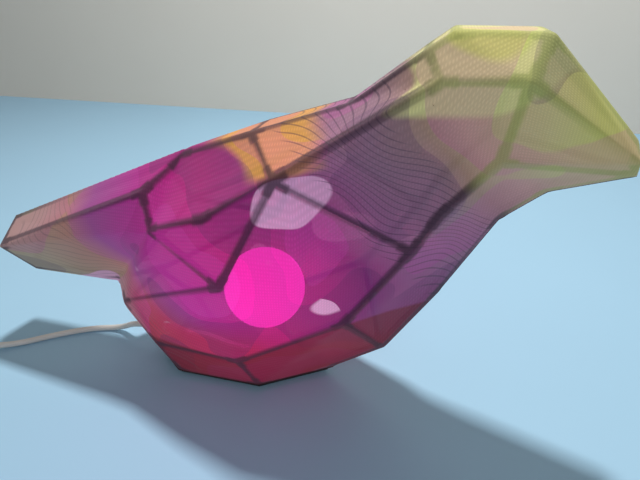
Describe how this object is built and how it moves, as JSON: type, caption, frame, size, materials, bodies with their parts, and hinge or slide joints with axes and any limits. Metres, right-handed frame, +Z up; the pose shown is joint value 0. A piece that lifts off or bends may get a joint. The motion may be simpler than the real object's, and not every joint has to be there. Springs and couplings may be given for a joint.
{
  "type": "bird-shaped table lamp",
  "caption": "Bird-shaped table lamp: a printed fabric cover over a faceted strut frame, lit by a globe bulb on a flat base, with a switch and plug on its cord.",
  "frame": {"origin": "On the table under the bulb's axis, in the plane of the base pad's underside.", "axes": "+X points from tail to beak along the table, +Y to the bird's left, +Z up."},
  "size_m": [0.7828, 0.214, 0.337],
  "materials": {
    "fabric": "printed woven",
    "strut": "matte",
    "connector": "matte",
    "plate": "satin",
    "pad": "matte",
    "steel": "satin",
    "holder": "matte",
    "bulb_cap": "satin",
    "bulb_glass": "opal",
    "bulb_body": "satin",
    "cord": "satin",
    "switch": "gloss",
    "plug": "satin",
    "prong": "polished"
  },
  "bodies": {
    "lamp": {"back_connectors": "connector", "back_struts": "strut", "base_connectors": "connector", "base_pad": "pad", "base_plate": "plate", "base_ring_struts": "strut", "beak_connectors": "connector", "beak_struts": "strut", "breast_connectors": "connector", "breast_struts": "strut", "bulb_cap": "bulb_cap", "bulb_collar": "bulb_body", "bulb_globe": "bulb_glass", "cord_boot": "cord", "cord_bracket": "plate", "cord_coil": "cord", "cord_lead": "cord", "cord_tie": "cord", "cover_left": "fabric", "cover_right": "fabric", "flank_connectors": "connector", "flank_struts": "strut", "head_connectors": "connector", "head_struts": "strut", "inner_lead": "cord", "lampholder_cup": "holder", "lampholder_insert": "holder", "neck_struts": "strut", "plate_screws": "steel", "plug_body": "plug", "plug_prongs": "prong", "rocker_pin": "steel", "rump_connectors": "connector", "rump_struts": "strut", "switch_base": "switch", "switch_cover": "switch", "tail_connectors": "connector", "tail_struts": "strut", "wing_connectors": "connector", "wing_struts": "strut"},
    "rocker": {"switch_rocker": "switch"}
  },
  "joints": [
    {"name": "switch_rocker_tilt", "type": "hinge", "parent": "lamp", "child": "rocker", "pos_m": [-0.352, -0.088, 0.0096], "axis": [-0.5299, 0.848, 0], "range_deg": [0, 14]}
  ]
}
